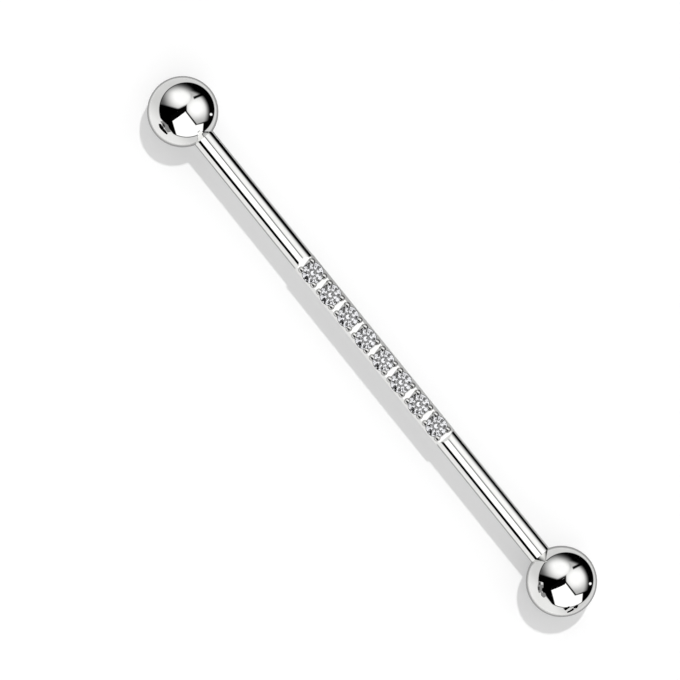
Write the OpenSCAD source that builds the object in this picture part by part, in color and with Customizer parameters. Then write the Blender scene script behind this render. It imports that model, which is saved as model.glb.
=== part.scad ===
/* [Bar] */
// Diameter of the round bar, 14 gauge
bar_d = 1.6; // [1.4:0.05:2.4]
// Length of the bar between the two shoulders that the balls seat on
bar_l = 38; // [32:1:60]
// Width of the broken edge at each shoulder
shoulder_edge = 0.05; // [0.02:0.01:0.1]

/* [Balls] */
// Diameter of each screw-on ball
ball_d = 5; // [4:0.25:8]
// How far the bar's shoulder sinks into the counterbore of the ball
seat_depth = 0.25; // [0.1:0.05:0.5]
// Radial gap between the bar and the counterbore
seat_clear = 0.03; // [0.02:0.01:0.06]
// Gap between the shoulder and the floor of the counterbore
shoulder_gap = 0.02; // [0.01:0.01:0.05]
// Width of the broken edge at the counterbore's mouth
mouth_edge = 0.04; // [0.02:0.01:0.1]

/* [Thread] */
// Outer diameter of the threaded post
thread_d = 1.2; // [1:0.05:1.3]
// Length of the threaded post beyond the shoulder
thread_l = 2.6; // [1.5:0.1:3]
// Distance from one thread ridge to the next
thread_pitch = 0.25; // [0.2:0.05:0.35]
// Depth of the thread
thread_depth = 0.12; // [0.08:0.01:0.16]
// Length of the plain neck between the shoulder and the thread
neck_l = 0.2; // [0.1:0.05:0.4]
// Radial gap between the post's ridges and the ball's bore
thread_clear = 0.04; // [0.02:0.01:0.08]
// How much deeper the ball's bore is than the post is long
bore_spare = 0.3; // [0.1:0.05:0.5]

/* [Stones] */
// Number of round brilliants in the row
stone_count = 8; // [3:1:10]
// Diameter of each stone at its girdle
stone_d = 1.5; // [1.2:0.05:1.8]
// Clear distance along the bar from one stone's girdle to the next
stone_gap = 0.47; // [0.4:0.01:0.8]
// How far the middle of the row lies towards the right ball
row_shift = 0.28; // [-2:0.02:2]
// Slope of the crown's main facets, in degrees
crown_angle = 34.5; // [30:0.5:38]
// Slope of the pavilion's main facets, in degrees
pavilion_angle = 41; // [38:0.5:43]
// Diameter of the table across its corners
table_d = 0.87; // [0.6:0.01:0.95]
// Height of the girdle's band
girdle_t = 0.04; // [0.02:0.01:0.08]

/* [Setting] */
// How far the milled flat lies below the crest of the round bar
flat_drop = 0.15; // [0.1:0.01:0.25]
// How far the stones' tables stand above the flat
table_rise = 0.01; // [0:0.01:0.06]
// How far the setting's sides and underside stand out from the round bar
side_step = 0.025; // [0.01:0.005:0.1]
// Radius of the setting's rounded underside, flatter than the bar's
belly_r = 1; // [1:0.05:2]
// Thinnest metal beside a stone's girdle
rim_w = 0.075; // [0.05:0.005:0.15]
// Width of the bevel along each long edge of the flat
bevel_w = 0.24; // [0.15:0.01:0.3]
// Height of that bevel
bevel_h = 0.2; // [0.15:0.01:0.25]
// Thickness of the wall between two cells, at the flat
wall_w = 0.3; // [0.2:0.01:0.4]
// Thickness of the wall beyond the first and last cells
end_wall = 0.17; // [0.1:0.01:0.5]
// Length of the ramp from the flat up to the bar's crest
ramp_l = 0.22; // [0.1:0.01:0.6]
// Distance from the end of the setting to the foot of the ramp
ramp_foot = 0.03; // [0.01:0.01:0.1]
// Depth of the bright-cut cell round each stone
cell_depth = 0.18; // [0.1:0.01:0.22]
// How far the cell's long cut sides lean inwards over that depth
cell_lean = 0.13; // [0.05:0.01:0.15]
// How far its cut sides at the walls lean inwards over that depth
wall_lean = 0.31; // [0.1:0.01:0.35]
// Slant of the cell's cut side towards the left ball, in degrees
cell_slant = 15; // [0:1:16]
// Width left between the cell and the bevel
lip_w = 0.07; // [0.04:0.01:0.12]
// Gap between a stone and its seat
seat_gap = 0.02; // [0.01:0.005:0.04]

/* [Beads] */
// Diameter of each bead that holds a stone
bead_d = 0.39; // [0.26:0.01:0.42]
// How far a bead's centre lies outside the stone's girdle
bead_out = 0.07; // [0.04:0.01:0.12]
// Angle from the bar's length to the bead, seen from the stone's centre
bead_angle = 35; // [32:0.5:42]
// How far a bead's top stands above the flat
bead_rise = 0.16; // [0.08:0.01:0.2]
// Diameter of the small pit that the beading tool leaves in each bead
pit_d = 0.16; // [0.1:0.01:0.2]
// Depth of that pit
pit_depth = 0.05; // [0.02:0.01:0.06]
// Distance from the bead's middle to the middle of its pit
pit_out = 0.09; // [0.04:0.01:0.1]
// Side of the bead that the pit lies on, in degrees from the way to the right ball
pit_angle = -35; // [-90:5:90]

/* [Hidden] */
$fn = 48;
// Shared heights are measured from the bar's axis, which lies half a ball above the ground
axis_z = ball_d / 2;
bar_r = bar_d / 2;
ball_r = ball_d / 2;
stone_r = stone_d / 2;
bead_r = bead_d / 2;
// Spare length by which a cutting shape passes the surface that it cuts
over = 1;

// Row of stones
pitch = stone_d + stone_gap;
row_half = (stone_count - 1) / 2 * pitch;
function stone_x(i) = row_shift - row_half + (i - 1) * pitch;

// Heights of the flat and of a stone, from the bar's axis
flat_z = bar_r - flat_drop;
table_z = flat_z + table_rise;
table_r = table_d / 2;
girdle_top = table_z - (stone_r - table_r) * tan(crown_angle);
girdle_low = girdle_top - girdle_t;
culet_z = girdle_low - stone_r * tan(pavilion_angle);
// Main facets round a stone, and the turn from the corner of one to its middle
mains = 8;
half_turn = 180 / mains;
// Rings where the star facets and the lower girdle facets end, as shares of the stone's radius
star_r = 0.8 * stone_r;
lower_r = 0.26 * stone_r;
// Height at which each ring lies in the plane of the main facets
star_z = girdle_top + (stone_r - star_r * cos(half_turn)) * tan(crown_angle);
lower_z = culet_z + lower_r * cos(half_turn) * tan(pavilion_angle);

// Outline of the setting, and the ends of its block
setting_r = max(bar_r + side_step, stone_r + rim_w);
flat_half = setting_r - bevel_w;
cell_half = (pitch - wall_w) / 2;
cell_side = flat_half - lip_w;
cell_floor = flat_z - cell_depth;
block_half = row_half + cell_half + end_wall;

// Thread, seen in a half section
crest_r = thread_d / 2;
root_r = crest_r - thread_depth;
bore_r = crest_r + thread_clear;
turns = floor((thread_l - neck_l) / thread_pitch);
// Shares of the pitch at which a ridge reaches its crest and leaves it
crest_from = 0.4;
crest_to = 0.6;
counterbore_r = bar_r + seat_clear;
// Where the counterbore's floor lies from the ball's centre
floor_x = sqrt(ball_r * ball_r - bar_r * bar_r) - seat_depth;
ball_x = bar_l / 2 + shoulder_gap + floor_x;
// A drill leaves a cone with this slope at the bottom of its bore
drill_slope = tan(31);

// Turns what is made along Z to lie along the bar, with its top to the right
module along_bar() {
    translate([0, 0, axis_z]) rotate([0, 90, 0]) children();
}

// Half-section points of ridges that start at r_low and rise to r_high, one ridge a turn
function ridges(r_low, r_high, start) = [
    for (k = [0 : turns - 1], step = [[0, r_low], [crest_from, r_high], [crest_to, r_high]])
        [step[1], start + (k + step[0]) * thread_pitch]
];

// The threaded post, from inside the bar's end at z = 0 outwards
module threaded_post() {
    rotate_extrude() polygon(concat(
        [[0, -over], [root_r, -over]],
        ridges(root_r, crest_r, neck_l),
        [[root_r, neck_l + turns * thread_pitch], [root_r, thread_l], [0, thread_l]]
    ));
}

// The round bar with its broken shoulder edges
module shank() {
    half = bar_l / 2;
    rotate_extrude() polygon([
        [0, -half],
        [bar_r - shoulder_edge, -half],
        [bar_r, -half + shoulder_edge],
        [bar_r, half - shoulder_edge],
        [bar_r - shoulder_edge, half],
        [0, half]
    ]);
}

// Cross-section of the setting: rounded below, upright sides, and a bevel up to the flat
module setting_section() {
    lean = bevel_w / bevel_h;
    intersection() {
        polygon([
            [-setting_r, -setting_r - over],
            [setting_r, -setting_r - over],
            [setting_r, flat_z - bevel_h],
            [flat_half - flat_drop * lean, bar_r],
            [-flat_half + flat_drop * lean, bar_r],
            [-setting_r, flat_z - bevel_h]
        ]);
        union() {
            translate([0, belly_r - setting_r]) circle(belly_r);
            translate([-setting_r - over, 0]) square(2 * (setting_r + over));
        }
    }
}

// The block of metal that carries the stones
module setting_block() {
    translate([row_shift - block_half, 0, axis_z]) rotate([90, 0, 90])
        linear_extrude(2 * block_half) setting_section();
}

// What the mill takes off above the flat. Each ramp's slope is carried on above the bar's crest
module mill_cut() {
    foot = block_half + ramp_foot;
    top_z = bar_r + over;
    top = foot + (top_z - flat_z) * ramp_l / flat_drop;
    translate([row_shift, 0, axis_z]) rotate([90, 0, 0])
        linear_extrude(2 * (setting_r + over), center = true)
            polygon([[-foot, flat_z], [foot, flat_z], [top, top_z], [-top, top_z]]);
}

// The room above the cell's floor up to one cut side, which lies a distance away at the flat
module up_to_side(distance, lean) {
    high = bar_r + bead_rise;
    spread = (high - flat_z) * lean / cell_depth;
    rotate([90, 0, 0]) linear_extrude(2 * pitch, center = true) polygon([
        [-pitch, cell_floor],
        [distance - lean, cell_floor],
        [distance + spread, high],
        [-pitch, high]
    ]);
}

// The bright-cut cell round a stone: four cut sides that lean in to a flat floor
module cell() {
    intersection() {
        up_to_side(cell_half, wall_lean);
        rotate([0, 0, 180 + cell_slant]) up_to_side(cell_half * cos(cell_slant), wall_lean);
        rotate([0, 0, 90]) up_to_side(cell_side, cell_lean);
        rotate([0, 0, -90]) up_to_side(cell_side, cell_lean);
    }
}

// The drilled seat that a stone drops into
module seat() {
    r = stone_r + seat_gap;
    tip = culet_z - seat_gap / cos(pavilion_angle);
    rotate_extrude() polygon([
        [0, tip],
        [r, tip + r * tan(pavilion_angle)],
        [r, bar_r + over],
        [0, bar_r + over]
    ]);
}

// The stone's own outline with its gap, which trims the beads that lean over it
module stone_room() {
    r = stone_r + seat_gap;
    rotate_extrude() polygon([
        [0, girdle_low],
        [r, girdle_low],
        [r, girdle_top + seat_gap],
        [star_r + seat_gap, star_z + seat_gap],
        [table_r + seat_gap, table_z + seat_gap],
        [0, table_z + seat_gap]
    ]);
}

// One bead: a round stub that rises from the cell's floor, with a domed top and its pit
module bead() {
    dome_z = flat_z + bead_rise - bead_r;
    foot_z = culet_z;
    tilt = asin(pit_out / bead_r);
    // Radius of the ball shape that cuts the pit, and how far above the dome its middle lies
    pit_r = (pit_d * pit_d / 4 + pit_depth * pit_depth) / (2 * pit_depth);
    difference() {
        rotate_extrude() {
            translate([0, foot_z]) square([bead_r, dome_z - foot_z]);
            translate([0, dome_z]) intersection() {
                circle(bead_r);
                square(bead_r);
            }
        }
        translate([0, 0, dome_z]) rotate([0, tilt, pit_angle])
            translate([0, 0, bead_r + pit_r - pit_depth]) sphere(pit_r);
    }
}

// The four beads round a stone, cut to the stone's shape on their inner side
module bead_set() {
    reach = stone_r + bead_out;
    difference() {
        for (turn = [bead_angle, 180 - bead_angle, 180 + bead_angle, -bead_angle])
            translate([reach * cos(turn), reach * sin(turn), 0]) bead();
        seat_below();
        stone_room();
    }
}

// The part of the seat below the girdle
module seat_below() {
    intersection() {
        seat();
        translate([0, 0, girdle_low - over]) cylinder(r = stone_r + over, h = over);
    }
}

module at_each_stone() {
    for (i = [1 : stone_count]) translate([stone_x(i), 0, axis_z]) children();
}

// The bar: shank, posts and setting are one piece of metal
module bar() {
    color("silver") {
        difference() {
            union() {
                along_bar() shank();
                setting_block();
            }
            mill_cut();
            at_each_stone() cell();
            at_each_stone() seat();
        }
        at_each_stone() bead_set();
        along_bar() translate([0, 0, bar_l / 2]) threaded_post();
        along_bar() rotate([180, 0, 0]) translate([0, 0, bar_l / 2]) threaded_post();
    }
}

// A ball, with its centre at the origin and its tapped bore open towards +Z
module ball() {
    bore_end = floor_x - thread_l - bore_spare;
    mouth = sqrt(ball_r * ball_r - counterbore_r * counterbore_r);
    groove_start = bore_end + bore_spare;
    rotate_extrude() difference() {
        intersection() {
            circle(ball_r);
            translate([0, -ball_r]) square([ball_r, ball_d]);
        }
        polygon(concat(
            [[-over, bore_end - bore_r * drill_slope], [0, bore_end - bore_r * drill_slope]],
            [[bore_r, bore_end]],
            ridges(bore_r, bore_r + thread_depth, groove_start),
            [
                [bore_r, groove_start + turns * thread_pitch],
                [bore_r, floor_x],
                [counterbore_r, floor_x],
                [counterbore_r, mouth - mouth_edge],
                [counterbore_r + mouth_edge + over, mouth + over],
                [-over, mouth + over]
            ]
        ));
    }
}

module ball_left() {
    color("silver") translate([-ball_x, 0, 0]) along_bar() ball();
}

module ball_right() {
    color("silver") translate([ball_x, 0, 0]) along_bar() rotate([180, 0, 0]) ball();
}

function ring(r, z, count, turn) = [
    for (k = [0 : count - 1]) [r * cos(360 * k / count + turn), r * sin(360 * k / count + turn), z]
];

// One round brilliant: table, 8 star, 8 bezel and 16 upper girdle facets above the girdle's band,
// 16 lower girdle and 8 main facets below it
module brilliant() {
    edges = 2 * mains;
    // Where each ring's points start in the list of points
    table = 0;
    star = table + mains;
    upper = star + mains;
    under = upper + edges;
    lower = under + edges;
    culet = lower + mains;
    polyhedron(
        points = concat(
            ring(table_r, table_z, mains, 0),
            ring(star_r, star_z, mains, half_turn),
            ring(stone_r, girdle_top, edges, 0),
            ring(stone_r, girdle_low, edges, 0),
            ring(lower_r, lower_z, mains, half_turn),
            [[0, 0, culet_z]]
        ),
        faces = concat(
            [[for (k = [mains - 1 : -1 : 0]) table + k]],
            [for (k = [0 : mains - 1]) [table + k, table + (k + 1) % mains, star + k]],
            [for (k = [0 : mains - 1])
                [table + k, star + k, upper + 2 * k, star + (k + mains - 1) % mains]],
            [for (k = [0 : mains - 1]) [star + k, upper + 2 * k + 1, upper + 2 * k]],
            [for (k = [0 : mains - 1])
                [star + k, upper + (2 * k + 2) % edges, upper + 2 * k + 1]],
            [for (j = [0 : edges - 1])
                [upper + j, upper + (j + 1) % edges, under + (j + 1) % edges, under + j]],
            [for (k = [0 : mains - 1]) [under + 2 * k, under + 2 * k + 1, lower + k]],
            [for (k = [0 : mains - 1])
                [under + 2 * k + 1, under + (2 * k + 2) % edges, lower + k]],
            [for (k = [0 : mains - 1])
                [under + 2 * k, lower + k, culet, lower + (k + mains - 1) % mains]]
        )
    );
}

module stone(i) {
    color("aliceblue") translate([stone_x(i), 0, axis_z]) brilliant();
}

bar();
ball_left();
ball_right();
for (i = [1 : stone_count])
    stone(i);
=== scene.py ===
import math

import bmesh
import bpy
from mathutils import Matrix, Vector


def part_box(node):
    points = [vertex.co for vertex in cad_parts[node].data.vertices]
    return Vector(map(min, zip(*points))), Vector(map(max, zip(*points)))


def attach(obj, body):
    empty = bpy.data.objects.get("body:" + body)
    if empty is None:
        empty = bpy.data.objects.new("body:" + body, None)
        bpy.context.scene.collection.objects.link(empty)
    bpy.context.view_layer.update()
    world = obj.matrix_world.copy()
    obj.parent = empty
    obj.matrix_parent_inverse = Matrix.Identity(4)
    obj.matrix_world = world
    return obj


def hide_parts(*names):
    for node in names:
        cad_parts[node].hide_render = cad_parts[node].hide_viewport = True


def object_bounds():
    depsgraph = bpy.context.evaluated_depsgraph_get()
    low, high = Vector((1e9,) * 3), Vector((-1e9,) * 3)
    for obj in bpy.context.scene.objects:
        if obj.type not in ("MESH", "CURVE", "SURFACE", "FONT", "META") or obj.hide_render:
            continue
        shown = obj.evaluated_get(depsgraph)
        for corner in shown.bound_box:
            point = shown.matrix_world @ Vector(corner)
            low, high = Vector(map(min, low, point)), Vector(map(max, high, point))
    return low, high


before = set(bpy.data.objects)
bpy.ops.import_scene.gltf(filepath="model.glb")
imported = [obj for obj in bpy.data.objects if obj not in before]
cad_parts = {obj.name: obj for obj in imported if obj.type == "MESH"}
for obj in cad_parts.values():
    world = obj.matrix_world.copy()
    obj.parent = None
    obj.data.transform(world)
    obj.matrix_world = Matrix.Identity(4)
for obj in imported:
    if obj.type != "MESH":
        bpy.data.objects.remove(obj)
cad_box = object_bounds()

# The frame and Blender are in metres
MM = 0.001
bpy.ops.object.select_all(action="DESELECT")

# Bar
# One piece of 316L surgical steel: a round rod with a threaded post at each end, and a milled
# flat in the middle with eight bright-cut cells and the beads that were raised to hold the
# stones. It is turned and milled, and then buffed to a mirror on a cloth wheel.
steel_colour = "#EDEDEC"
haze_colour = "#E1E1DF"
haze_size = 0.9 * MM
haze_detail = 3
# The polish goes from its best to its worst between these levels of the haze's noise
haze_from = 0.3
haze_to = 0.7
least_roughness = 0.02
most_roughness = 0.05
# The real hair lines are under 0.01 mm wide, so they are drawn wider to show at all
line_width = 0.06 * MM
line_length = 3 * MM
line_detail = 2
line_strength = 0.3
bar_line_depth = 0.00006 * MM


def linear(colour):
    """The linear colour of an sRGB hex value such as #C8C8C6."""
    parts = [int(colour[i : i + 2], 16) / 255 for i in (1, 3, 5)]
    return [p / 12.92 if p <= 0.04045 else ((p + 0.055) / 1.055) ** 2.4 for p in parts] + [1]


def add(tree, kind, inputs, **settings):
    """Adds a node with its settings, and sets or links its inputs, each by name or number."""
    made = tree.nodes.new("ShaderNode" + kind)
    for name, value in settings.items():
        setattr(made, name, value)
    for socket, value in inputs.items():
        if isinstance(value, bpy.types.NodeSocket):
            tree.links.new(value, made.inputs[socket])
        else:
            made.inputs[socket].default_value = value
    return made


# Buffed steel mirrors its surroundings sharply in a neutral grey. The haze where the wheel
# pressed less dulls them a little in patches, and fine hair lines show along the bar.
def buffed_steel(name, line_depth):
    """Surgical steel with a mirror polish, the wheel's haze and hair lines of a depth."""
    finish = bpy.data.materials.new(name)
    finish.use_nodes = True
    tree = finish.node_tree
    place = add(tree, "TexCoord", {}).outputs["Object"]
    cloud = {"Vector": place, "Scale": 1 / haze_size, "Detail": haze_detail}
    haze = add(tree, "TexNoise", cloud).outputs[0]
    thin = (1 / line_length, 1 / line_width, 1 / line_width)
    drawn_out = add(tree, "Mapping", {"Vector": place, "Scale": thin}).outputs[0]
    hairs = {"Vector": drawn_out, "Scale": 1, "Detail": line_detail}
    lines = add(tree, "TexNoise", hairs).outputs[0]
    spread = {"Value": haze, 1: haze_from, 2: haze_to, 3: least_roughness, 4: most_roughness}
    tint = add(tree, "ValToRGB", {"Fac": haze})
    tint.color_ramp.elements[0].color = linear(steel_colour)
    tint.color_ramp.elements[1].color = linear(haze_colour)
    scored = {"Height": lines, "Strength": line_strength, "Distance": line_depth}
    steel = tree.nodes["Principled BSDF"]
    steel.inputs["Metallic"].default_value = 1
    tree.links.new(tint.outputs[0], steel.inputs["Base Color"])
    tree.links.new(add(tree, "MapRange", spread).outputs[0], steel.inputs["Roughness"])
    tree.links.new(add(tree, "Bump", scored).outputs[0], steel.inputs["Normal"])
    return finish


# Each bead's pit carries a painted reflection, a dark spot that draws the bead, and the seam
# round each bead carries painted shade. The buff doesn't reach into the drilled seats, which
# are duller, and their darker colour below the stones is painted shade.
pit_reflection_colour = "#161514"
seam_shade_colour = "#5A5856"
# Painted shade darkens the seats below the stones; their roughness is the drilled finish's own
seat_shade_colour = "#4A4846"
drilled_roughness = 0.35
# Each bead's middle, along and across from the middle of its stone
bead_along = 0.672 * MM
bead_across = 0.470 * MM
bead_radius = 0.195 * MM
seam_width = 0.03 * MM
# Each pit's middle, from its bead's, its radius, and how far out it is dark all over
pit_along = 0.074 * MM
pit_across = -0.052 * MM
pit_radius = 0.08 * MM
pit_dark = 0.064 * MM
seat_radius = 0.775 * MM
# Heights above the bar's axis
seat_top = 0.43 * MM
seat_bottom = -0.40 * MM

stone_names = sorted(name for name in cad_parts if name.startswith("stone_"))
stone_boxes = [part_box(name) for name in stone_names]
stone_middles = sorted((low.x + high.x) / 2 for low, high in stone_boxes)
pitch = stone_middles[1] - stone_middles[0]
axis_height = (cad_box[0].z + cad_box[1].z) / 2
bar_steel = buffed_steel("bead-set surgical steel", bar_line_depth)
tree = bar_steel.node_tree
steel = tree.nodes["Principled BSDF"]
colour = steel.inputs["Base Color"].links[0].from_socket
polish = steel.inputs["Roughness"].links[0].from_socket
place = add(tree, "TexCoord", {}).outputs["Object"]


def from_stone(along, across):
    """Where a point lies from a place beside the nearest stone: along, across and above it."""
    beside = (-stone_middles[0] - along, -across, -axis_height)
    moved = add(tree, "VectorMath", {0: place, 1: beside}).outputs[0]
    parts = add(tree, "SeparateXYZ", {0: moved}).outputs
    folded = {0: parts["X"], 1: pitch / 2, 2: -pitch / 2}
    return add(tree, "Math", folded, operation="WRAP").outputs[0], parts["Y"], parts["Z"]


def from_bead(along, across):
    """How far a point lies from the nearest bead's middle, or from a place beside each."""
    beside, sideways, _ = from_stone(along, across)
    offsets = []
    for value, bead_place in ((beside, bead_along), (sideways, bead_across)):
        size = add(tree, "Math", {0: value}, operation="ABSOLUTE").outputs[0]
        offsets.append(add(tree, "Math", {0: size, 1: bead_place}, operation="SUBTRACT").outputs[0])
    flat = add(tree, "CombineXYZ", {0: offsets[0], 1: offsets[1]}).outputs[0]
    return add(tree, "VectorMath", {0: flat}, operation="LENGTH").outputs["Value"]


# Only the stretch that carries stones, above the bottom of their seats, has any of this
along, across, height = from_stone(0, 0)
x_now = add(tree, "SeparateXYZ", {0: place}).outputs["X"]
row_middle = (stone_middles[0] + stone_middles[-1]) / 2
row_reach = (stone_middles[-1] - stone_middles[0]) / 2 + bead_along + bead_radius + seam_width
row_span = {0: x_now, 1: row_middle, 2: row_reach}
in_row = add(tree, "Math", row_span, operation="COMPARE").outputs[0]
above = add(tree, "Math", {0: height, 1: seat_bottom}, operation="GREATER_THAN").outputs[0]
dressed = add(tree, "Math", {0: in_row, 1: above}, operation="MULTIPLY").outputs[0]

# Where the painted reflection in each pit and the painted shade round each bead fall
from_pit = from_bead(pit_along, pit_across)
in_pit = add(tree, "MapRange", {"Value": from_pit, 1: pit_radius, 2: pit_dark}).outputs[0]
seam_span = {0: from_bead(0, 0), 1: bead_radius + seam_width / 2, 2: seam_width / 2}
in_seam = add(tree, "Math", seam_span, operation="COMPARE").outputs[0]
flat = add(tree, "CombineXYZ", {0: along, 1: across}).outputs[0]
from_middle = add(tree, "VectorMath", {0: flat}, operation="LENGTH").outputs["Value"]
# Inside the seats, below the stones: painted shade and a duller drilled polish
in_bore = add(tree, "Math", {0: from_middle, 1: seat_radius}, operation="LESS_THAN").outputs[0]
low = add(tree, "Math", {0: height, 1: seat_top}, operation="LESS_THAN").outputs[0]
in_seat = add(tree, "Math", {0: in_bore, 1: low}, operation="MULTIPLY").outputs[0]
drilled = add(tree, "Math", {0: in_seat, 1: dressed}, operation="MULTIPLY").outputs[0]

# The seams' painted shade, the seats' painted shade and the pits' painted reflection lie over the bright
# steel in this order
for mask, darker in (
    (in_seam, seam_shade_colour),
    (in_seat, seat_shade_colour),
    (in_pit, pit_reflection_colour),
):
    share = add(tree, "Math", {0: mask, 1: dressed}, operation="MULTIPLY").outputs[0]
    layers = {0: share, 6: colour, 7: linear(darker)}
    colour = add(tree, "Mix", layers, data_type="RGBA").outputs[2]
polish = add(tree, "Mix", {0: drilled, 2: polish, 3: drilled_roughness}).outputs[0]
tree.links.new(colour, steel.inputs["Base Color"])
tree.links.new(polish, steel.inputs["Roughness"])

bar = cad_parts["bar"]
bar.data.materials.clear()
bar.data.materials.append(bar_steel)

# Stones
# Eight round brilliants of cubic zirconia, each held in its drilled seat by four beads. Their
# facets are polished, and the girdle is left ground, so it shows as a fine frosted line.
stone_colour = "#F3F3F5"
# They are clear and barely cool on steel, and strain in the crystal clouds them here and there
strain_colour = "#E6E7EC"
strain_size = 0.7 * MM
strain_detail = 1
stone_ior = 2.16
ground_roughness = 0.4
# The girdle's band, as heights above the stone's lowest point
girdle_low = 0.652 * MM
girdle_high = 0.692 * MM

cubic_zirconia = bpy.data.materials.new("cut cubic zirconia")
cubic_zirconia.use_nodes = True
tree = cubic_zirconia.node_tree
place = add(tree, "TexCoord", {}).outputs["Object"]
cloud = {"Vector": place, "Scale": 1 / strain_size, "Detail": strain_detail}
strain = add(tree, "TexNoise", cloud).outputs[0]
tint = add(tree, "ValToRGB", {"Fac": strain})
tint.color_ramp.elements[0].color = linear(stone_colour)
tint.color_ramp.elements[1].color = linear(strain_colour)
band_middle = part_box("stone_1")[0].z + (girdle_low + girdle_high) / 2
band_half = (girdle_high - girdle_low) / 2
height = add(tree, "SeparateXYZ", {0: place}).outputs["Z"]
band = {0: height, 1: band_middle, 2: band_half}
ground = add(tree, "Math", band, operation="COMPARE").outputs[0]
frosted = add(tree, "Math", {0: ground, 1: ground_roughness}, operation="MULTIPLY").outputs[0]
clear = tree.nodes["Principled BSDF"]
clear.inputs["IOR"].default_value = stone_ior
clear.inputs["Transmission Weight"].default_value = 1
tree.links.new(tint.outputs[0], clear.inputs["Base Color"])
tree.links.new(frosted, clear.inputs["Roughness"])
for name in stone_names:
    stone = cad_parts[name]
    stone.data.materials.clear()
    stone.data.materials.append(cubic_zirconia)

# Balls
# Each ball is turned from steel rod, tapped and screwed onto its post, so it is a lathe shape
# about the bar's axis: a round outside, a shallow counterbore that takes the bar's shoulder, and
# a threaded bore.
counterbore_radius = 0.83 * MM
counterbore_depth = 0.25 * MM
bar_radius = 0.8 * MM
bore_radius = 0.64 * MM
bore_depth = 2.9 * MM
# The bore ends in the cone of a drill with the usual point of 118 degrees
drill_slope = math.tan(math.radians(31))
thread_start = 2.6 * MM
thread_pitch = 0.25 * MM
thread_turns = 9
thread_depth = 0.12 * MM
# Shares of the pitch between which the thread is at its full depth
crest_from = 0.4
crest_to = 0.6
mouth_round = 0.04 * MM
round_segments = 4
outline_points = 256
lathe_steps = 144
smooth_angle = math.radians(30)
ball_line_depth = 0.00002 * MM

ball_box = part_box("ball_left")
ball_radius = (ball_box[1].z - ball_box[0].z) / 2
ball_middle = Vector((ball_box[0].x + ball_radius, 0, ball_box[0].z + ball_radius))
mouth = math.sqrt(ball_radius**2 - counterbore_radius**2)
seat = math.sqrt(ball_radius**2 - bar_radius**2) - counterbore_depth
bore_end = seat - bore_depth
# Points that lie closer than this count as one
tiny = ball_radius / 1e4
bpy.ops.mesh.primitive_circle_add(
    vertices=outline_points,
    radius=ball_radius,
    location=ball_middle,
    rotation=(math.pi / 2, 0, 0),
)
ball = bpy.context.object
ball.name = "ball_left_turned"
bpy.ops.object.transform_apply()

# Half of the circle is the outline of the lathe shape, and it ends where the mouth begins
bpy.ops.object.mode_set(mode="EDIT")
bpy.ops.mesh.select_mode(type="VERT")
bpy.ops.mesh.select_all(action="DESELECT")
outline = bmesh.from_edit_mesh(ball.data)
for point in outline.verts:
    off = point.co - ball_middle
    point.select = off.z < -tiny or (off.x > mouth - tiny and off.z < counterbore_radius)
outline.select_flush_mode()
bpy.ops.mesh.delete(type="VERT")

# From there it goes on down the counterbore and the thread to the drill's point
outline = bmesh.from_edit_mesh(ball.data)
end = max(outline.verts, key=lambda point: point.co.x)
end.select = True
outline.select_history.add(end)
place_now = end.co - ball_middle
route = [(mouth, counterbore_radius), (seat, counterbore_radius), (seat, bore_radius)]
for turn in reversed(range(thread_turns)):
    start = seat - thread_start + turn * thread_pitch
    route += [
        (start + thread_pitch, bore_radius),
        (start + crest_to * thread_pitch, bore_radius + thread_depth),
        (start + crest_from * thread_pitch, bore_radius + thread_depth),
    ]
route += [
    (seat - thread_start, bore_radius),
    (bore_end, bore_radius),
    (bore_end - bore_radius * drill_slope, 0),
]
for along, out in route:
    step = Vector((along, 0, out)) - place_now
    bpy.ops.mesh.extrude_vertices_move(TRANSFORM_OT_translate={"value": step})
    place_now += step
bpy.ops.mesh.select_all(action="SELECT")
bpy.ops.mesh.spin(steps=lathe_steps, angle=2 * math.pi, center=ball_middle, axis=(1, 0, 0))
bpy.ops.mesh.select_all(action="SELECT")
bpy.ops.mesh.remove_doubles(threshold=tiny)
bpy.ops.mesh.normals_make_consistent(inside=False)

# The mouth's edge is broken with a small round
bpy.ops.mesh.select_mode(type="EDGE")
bpy.ops.mesh.select_all(action="DESELECT")
turned = bmesh.from_edit_mesh(ball.data)
for edge in turned.edges:
    ends = [end.co - ball_middle for end in edge.verts]
    edge.select = all(
        abs(end.x - mouth) < tiny and abs(math.hypot(end.y, end.z) - counterbore_radius) < tiny
        for end in ends
    )
bmesh.update_edit_mesh(ball.data)
bpy.ops.mesh.bevel(offset=mouth_round, segments=round_segments)
bpy.ops.object.mode_set(mode="OBJECT")
bpy.ops.object.shade_smooth_by_angle(angle=smooth_angle)
ball.data.materials.append(buffed_steel("polished surgical steel", ball_line_depth))

bpy.ops.object.duplicate()
other_ball = bpy.context.object
other_ball.name = "ball_right_turned"
bpy.ops.transform.rotate(value=math.pi, orient_axis="Z", center_override=(0, 0, 0))
bpy.ops.object.transform_apply()
for piece, body, node in (
    (ball, "left_end", "ball_left"),
    (other_ball, "right_end", "ball_right"),
):
    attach(piece, body)
    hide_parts(node)
bpy.ops.object.select_all(action="DESELECT")

# Floor
# A sheet of white acrylic, matt and lit a little from below, so that it stays white to the
# eye and the shadow on it stays pale.
floor_size = 4000 * MM
floor_colour = "#B4B4B4"
floor_roughness = 0.9
floor_glow = 0.35
# Up to the first length of ray the steel mirrors the sheet, and past the second the studio
sheet_seen = 4.6 * MM
sheet_gone = 5.2 * MM
# Near the piece the sheet lies in its shade, which the steel mirrors as a grey rim. By the
# length of ray it is darkest at the contact, even in the middle, and gone further out.
shade_colour = "#A2A2A2"
contact_colour = "#5C5C5C"
shade_contact = 0.3 * MM
shade_even = 2.5 * MM
shade_full = 3.5 * MM
shade_none = 5.0 * MM

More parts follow.
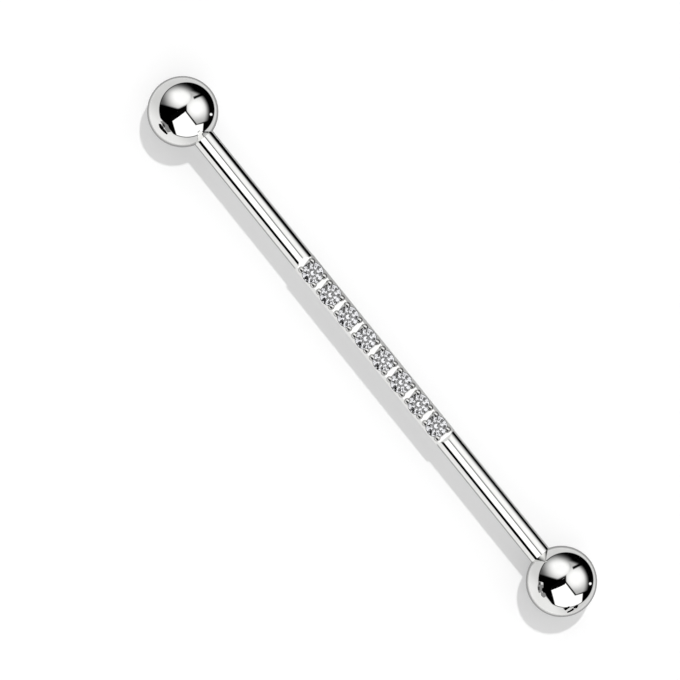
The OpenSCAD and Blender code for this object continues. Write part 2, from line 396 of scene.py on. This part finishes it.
bpy.ops.mesh.primitive_plane_add(size=floor_size)
floor = bpy.context.object
floor.name = "floor"
sheet = bpy.data.materials.new("white acrylic sheet")
sheet.use_nodes = True
tree = sheet.node_tree
acrylic = tree.nodes["Principled BSDF"]
acrylic.inputs["Base Color"].default_value = linear(floor_colour)
acrylic.inputs["Roughness"].default_value = floor_roughness
acrylic.inputs["Specular IOR Level"].default_value = 0
acrylic.inputs["Emission Color"].default_value = (1, 1, 1, 1)
acrylic.inputs["Emission Strength"].default_value = floor_glow
ray = add(tree, "LightPath", {})
reach = ray.outputs["Ray Length"]
in_mirror = ray.outputs["Is Glossy Ray"]
contact = add(tree, "MapRange", {"Value": reach, 1: shade_even, 2: shade_contact}).outputs[0]
tones = {0: contact, 6: linear(shade_colour), 7: linear(contact_colour)}
tone = add(tree, "Mix", tones, data_type="RGBA").outputs[2]
shade = add(tree, "Emission", {"Color": tone}).outputs[0]
close = add(tree, "MapRange", {"Value": reach, 1: shade_none, 2: shade_full}).outputs[0]
shaded = add(tree, "Math", {0: close, 1: in_mirror}, operation="MULTIPLY").outputs[0]
lit = add(tree, "MixShader", {0: shaded, 1: acrylic.outputs[0], 2: shade}).outputs[0]
far = add(tree, "MapRange", {"Value": reach, 1: sheet_seen, 2: sheet_gone}).outputs[0]
past = add(tree, "Math", {0: far, 1: in_mirror}, operation="MULTIPLY").outputs[0]
# From below nothing of the sheet shows
below = add(tree, "NewGeometry", {}).outputs["Backfacing"]
gone = add(tree, "Math", {0: past, 1: below}, operation="MAXIMUM").outputs[0]
open_air = add(tree, "BsdfTransparent", {}).outputs[0]
shown = add(tree, "MixShader", {0: gone, 1: lit, 2: open_air}).outputs[0]
tree.links.new(shown, tree.nodes["Material Output"].inputs["Surface"])
floor.data.materials.append(sheet)

# Camera
# It looks straight down from far above, turned so that the bar runs from the upper left to
# the lower right, with the middle of the bar a little to the right of the frame's middle.
frame_px = 680
px_per_mm = 14.27
px = MM / px_per_mm
bar_turn = math.radians(51.12)
middle_right = 32.05 * px
middle_down = 6.55 * px
lens = 500
right = Vector((math.cos(bar_turn), math.sin(bar_turn), 0))
up = Vector((-math.sin(bar_turn), math.cos(bar_turn), 0))
middle = (cad_box[0] + cad_box[1]) / 2
bpy.ops.object.camera_add()
camera = bpy.context.object
camera.data.lens = lens
distance = frame_px * px * lens / camera.data.sensor_width
camera.location = middle - middle_right * right + middle_down * up + Vector((0, 0, distance))
camera.rotation_euler = (0, 0, bar_turn)
bpy.context.scene.camera = camera

# Key light
# A small lamp high at the upper right, which casts the one pale, fairly sharp shadow. The
# steel doesn't mirror it, because the studio has a glint in its place.
lamp_tilt = math.radians(25.2)
lamp_right = 0.447
lamp_up = 0.894
lamp_power = 2.3
lamp_spread = math.radians(2.5)
lamp_side = (lamp_right * right + lamp_up * up) * math.sin(lamp_tilt)
towards_lamp = lamp_side + Vector((0, 0, math.cos(lamp_tilt)))
bpy.ops.object.light_add(type="SUN")
lamp = bpy.context.object
lamp.data.energy = lamp_power
lamp.data.angle = lamp_spread
lamp.visible_glossy = False
lamp.rotation_euler = towards_lamp.to_track_quat("Z", "Y").to_euler()

# Studio
# White softboxes, a white card and black cloth round them, all far away. Each is laid out by
# where a polished ball mirrors it for an eye straight above, from -1 to 1 across the ball.
card_light = 1.35
box_light = 1.26
sheet_light = 0.79
low_sheet_light = 0.22
backdrop_light = 1.0
# The blur on each side of an edge that looks sharp, as a share of the ball's radius
sharp = 0.015

studio = bpy.data.worlds.new("studio")
studio.use_nodes = True
tree = studio.node_tree
bpy.context.scene.world = studio
towards = add(tree, "TexCoord", {}).outputs["Generated"]
half_way = add(tree, "VectorMath", {0: towards, 1: (0, 0, 1)}, operation="ADD").outputs[0]
normal = add(tree, "VectorMath", {0: half_way}, operation="NORMALIZE").outputs[0]
turn_back = {"Vector": normal, "Angle": -bar_turn}
turned = add(tree, "VectorRotate", turn_back, rotation_type="Z_AXIS").outputs[0]
on_ball = add(tree, "VectorMath", {0: turned, 1: (1, 1, 0)}, operation="MULTIPLY").outputs[0]


def left_of(start, end, blur=sharp):
    """1 to the left of the line from start to end, 0 to its right, smooth within blur of it."""
    line = Vector(end) - Vector(start)
    across = Vector((-line.y, line.x)).normalized()
    edge = across.dot(Vector(start))
    off = add(tree, "VectorMath", {0: on_ball, 1: (*across, 0)}, operation="DOT_PRODUCT")
    span = {"Value": off.outputs["Value"], 1: edge - blur, 2: edge + blur}
    return add(tree, "MapRange", span, interpolation_type="SMOOTHSTEP").outputs[0]


def spot(centre, inner, outer, inside=1, outside=0):
    """Inside up to the inner radius round a centre, outside from the outer one, smooth between."""
    off = add(tree, "VectorMath", {0: on_ball, 1: (*centre, 0)}, operation="DISTANCE")
    span = {"Value": off.outputs["Value"], 1: inner, 2: outer, 3: inside, 4: outside}
    return add(tree, "MapRange", span, interpolation_type="SMOOTHSTEP").outputs[0]


def joined(operation, parts):
    """The parts taken together by one operation, two at a time."""
    total = parts[0]
    for part in parts[1:]:
        total = add(tree, "Math", {0: total, 1: part}, operation=operation).outputs[0]
    return total


# Each box has its edges first, and then the fall-off of its light
softbox_left = joined(
    "MULTIPLY",
    [
        left_of((-0.62, 0.215), (-0.12, 0.075), 0.03),
        left_of((-0.12, 0.07), (0.10, 0.18), 0.03),
        left_of((0.26, -0.1), (0.30, 0.8), 0.10),
        left_of((0.36, 0.42), (0.05, 0.68), 0.16),
        left_of((0.3, 0.66), (-0.3, 0.66), 0.18),
        spot((-0.03, 0.43), 0.15, 0.58, outside=0.08),
        box_light,
    ],
)
softbox_right = joined(
    "MULTIPLY",
    [
        left_of((0.125, 0.4), (0.125, 0.0), 0.02),
        left_of((0.12, 0.012), (0.405, -0.353)),
        left_of((0.40, -0.355), (0.59, -0.29), 0.02),
        left_of((0.60, 0.45), (0.38, 0.53), 0.05),
        spot((0.062, -0.017), 0.56, 0.71),
        spot((0.39, 0.10), 0.12, 0.42, outside=0.45),
        box_light,
    ],
)
# A dark arm reaches in between the two boxes
arm = joined(
    "MULTIPLY",
    [
        left_of((0.31, 0.335), (0.50, 0.42), 0.02),
        left_of((0.49, 0.50), (0.30, 0.415), 0.02),
        left_of((0.30, 0.40), (0.33, 0.32), 0.02),
    ],
)
# The card has a corner at its top, and a wing to the right below the second box
card = joined(
    "MULTIPLY",
    [
        left_of((-0.30, -0.20), (-0.197, -0.565)),
        left_of((0.070, 0.103), (-0.30, -0.20)),
        joined(
            "MAXIMUM",
            [
                left_of((0.070, -0.01), (0.070, 0.11)),
                left_of((0.37, -0.39), (0.08, -0.01)),
                left_of((0.58, -0.335), (0.37, -0.39)),
            ],
        ),
        left_of((0.57, -0.5), (0.585, -0.33)),
        card_light,
    ],
)
lamp_glint = joined("MULTIPLY", [spot((0.80, -0.07), 0.02, 0.05), card_light])
boxes = joined("MAXIMUM", [softbox_left, softbox_right])
boxes = joined("MULTIPLY", [boxes, joined("SUBTRACT", [1, arm])])
lights = joined("MAXIMUM", [boxes, card, lamp_glint])
# The black cloth is round, cut off straight at the lower left. A thin dark gap parts it from
# the pale sheet all round, which is brighter at the lower left, away from the lamp.
cloth_middle = (0.12, 0.045)
cloth_radius = 0.745
sheet_radius = 0.765
round_blur = 0.02
inside_cloth = joined(
    "MULTIPLY",
    [
        spot(cloth_middle, cloth_radius, cloth_radius + round_blur),
        left_of((-0.637, -0.128), (-0.261, -0.596), 0.01),
    ],
)
inside_sheet = joined(
    "MULTIPLY",
    [
        spot(cloth_middle, sheet_radius, sheet_radius + round_blur),
        left_of((-0.653, -0.141), (-0.277, -0.609), 0.01),
    ],
)
on_sheet = joined("SUBTRACT", [1, inside_sheet])
low_sheet = joined("MULTIPLY", [left_of((0.0, -0.75), (-0.75, 0.0), 0.2), low_sheet_light])
surroundings = joined(
    "ADD",
    [
        joined("MULTIPLY", [lights, inside_cloth]),
        joined("MULTIPLY", [on_sheet, joined("ADD", [low_sheet, sheet_light])]),
    ],
)
# Two round black flags, which only the stones see, give their facets contrast
flag_leak = 0.05
in_stone = joined(
    "MULTIPLY",
    [
        surroundings,
        spot((0.05, -0.04), 0.14, 0.16, inside=flag_leak, outside=1),
        spot((-0.3, -0.2), 0.07, 0.09, inside=flag_leak, outside=1),
    ],
)
ray = add(tree, "LightPath", {})
seen = {0: ray.outputs["Is Transmission Ray"], 2: surroundings, 3: in_stone}
seen = add(tree, "Mix", seen).outputs[0]
light = {0: ray.outputs["Is Camera Ray"], 2: seen, 3: backdrop_light}
light = add(tree, "Mix", light).outputs[0]
backdrop = tree.nodes["Background"]
backdrop.inputs["Color"].default_value = (1, 1, 1, 1)
tree.links.new(light, backdrop.inputs["Strength"])
bpy.context.scene.view_settings.view_transform = "Standard"

# Flags
# Slips of paper hang close to each ball, and only what the steel mirrors shows them. The large
# black ones hide the card's upper edge, because the bar mirrors more of it than the balls do,
# and the small ones break up the lower edge of the black cloth.
flag_away = 2 * MM
# Each slip hangs a little nearer than the one before, and covers it
flag_step = 0.02 * MM
flag_side = {"left": 1, "right": -1}
# Each paper's colour is an even painted glow, not lit by any lamp
paper_glow_colours = {"black": "#050505", "dark": "#484848", "grey": "#959595", "white": "#F0F0F0"}
# Each slip's ball and paper, and where that ball mirrors its corners for an eye straight above
flags = [
    ("left", "black", [(-0.32, -0.305), (0.055, -0.042), (0.09, -0.005), (0.095, 0.13), (-0.31, -0.14)]),
    ("right", "black", [(-0.32, -0.24), (0.08, -0.068), (0.105, -0.02), (0.105, 0.13), (-0.31, -0.14)]),
    ("left", "grey", [(-0.62, -0.27), (-0.53, -0.28), (-0.44, -0.36), (-0.50, -0.47), (-0.57, -0.36)]),
    ("left", "grey", [(-0.45, -0.35), (-0.40, -0.40), (-0.32, -0.57), (-0.42, -0.59), (-0.50, -0.47)]),
    ("left", "dark", [(-0.56, -0.33), (-0.51, -0.34), (-0.48, -0.42), (-0.52, -0.46), (-0.56, -0.40)]),
    ("left", "black", [(-0.67, -0.34), (-0.60, -0.35), (-0.53, -0.45), (-0.57, -0.54), (-0.645, -0.45)]),
    ("left", "black", [(-0.54, -0.45), (-0.48, -0.52), (-0.41, -0.62), (-0.44, -0.65), (-0.57, -0.54)]),
    ("right", "black", [(0.04, -0.745), (0.13, -0.72), (0.20, -0.68), (0.24, -0.70), (0.11, -0.805)]),
    ("right", "black", [(0.15, -0.84), (0.31, -0.74), (0.36, -0.78), (0.28, -0.83), (0.17, -0.875)]),
    ("right", "black", [(0.30, -0.75), (0.35, -0.70), (0.41, -0.64), (0.47, -0.66), (0.43, -0.74)]),
    ("right", "grey", [(-0.64, 0.02), (-0.56, 0.0), (-0.51, -0.05), (-0.52, -0.17), (-0.68, -0.17)]),
    ("right", "grey", [(-0.68, -0.15), (-0.55, -0.15), (-0.56, -0.29), (-0.64, -0.32)]),
    ("right", "grey", [(-0.59, -0.29), (-0.47, -0.31), (-0.43, -0.40), (-0.50, -0.45), (-0.57, -0.40)]),
    ("right", "white", [(-0.59, -0.01), (-0.53, -0.01), (-0.525, -0.075), (-0.585, -0.08)]),
    ("right", "dark", [(-0.67, -0.14), (-0.62, -0.14), (-0.615, -0.24), (-0.665, -0.24)]),
    ("right", "dark", [(-0.65, -0.02), (-0.60, -0.01), (-0.59, -0.08), (-0.64, -0.09)]),
]

# Paper whose light is painted on as an even glow of its colour, which the steel mirrors in one flat
# shade
papers = {}
for shade_name, colour in paper_glow_colours.items():
    paper = bpy.data.materials.new("%s paper" % shade_name)
    paper.use_nodes = True
    matt = paper.node_tree.nodes["Principled BSDF"]
    matt.inputs["Base Color"].default_value = (0, 0, 0, 1)
    matt.inputs["Specular IOR Level"].default_value = 0
    matt.inputs["Emission Color"].default_value = linear(colour)
    matt.inputs["Emission Strength"].default_value = 1
    papers[shade_name] = paper

for number, (side, shade_name, corners) in enumerate(flags):
    centre = Vector((flag_side[side] * ball_middle.x, 0, ball_middle.z))
    away = flag_away - number * flag_step
    bpy.ops.mesh.primitive_circle_add(vertices=len(corners), fill_type="NGON")
    flag = bpy.context.object
    flag.name = "flag_%d" % number
    for point, (u, v) in zip(flag.data.vertices, corners):
        level = math.sqrt(1 - u**2 - v**2)
        outward = u * right + v * up + Vector((0, 0, level))
        mirrored_way = 2 * level * outward - Vector((0, 0, 1))
        point.co = centre + ball_radius * outward + away * mirrored_way
    flag.data.materials.append(papers[shade_name])
    flag.visible_camera = False
    flag.visible_diffuse = False
    flag.visible_transmission = False
    flag.visible_shadow = False
bpy.ops.object.select_all(action="DESELECT")
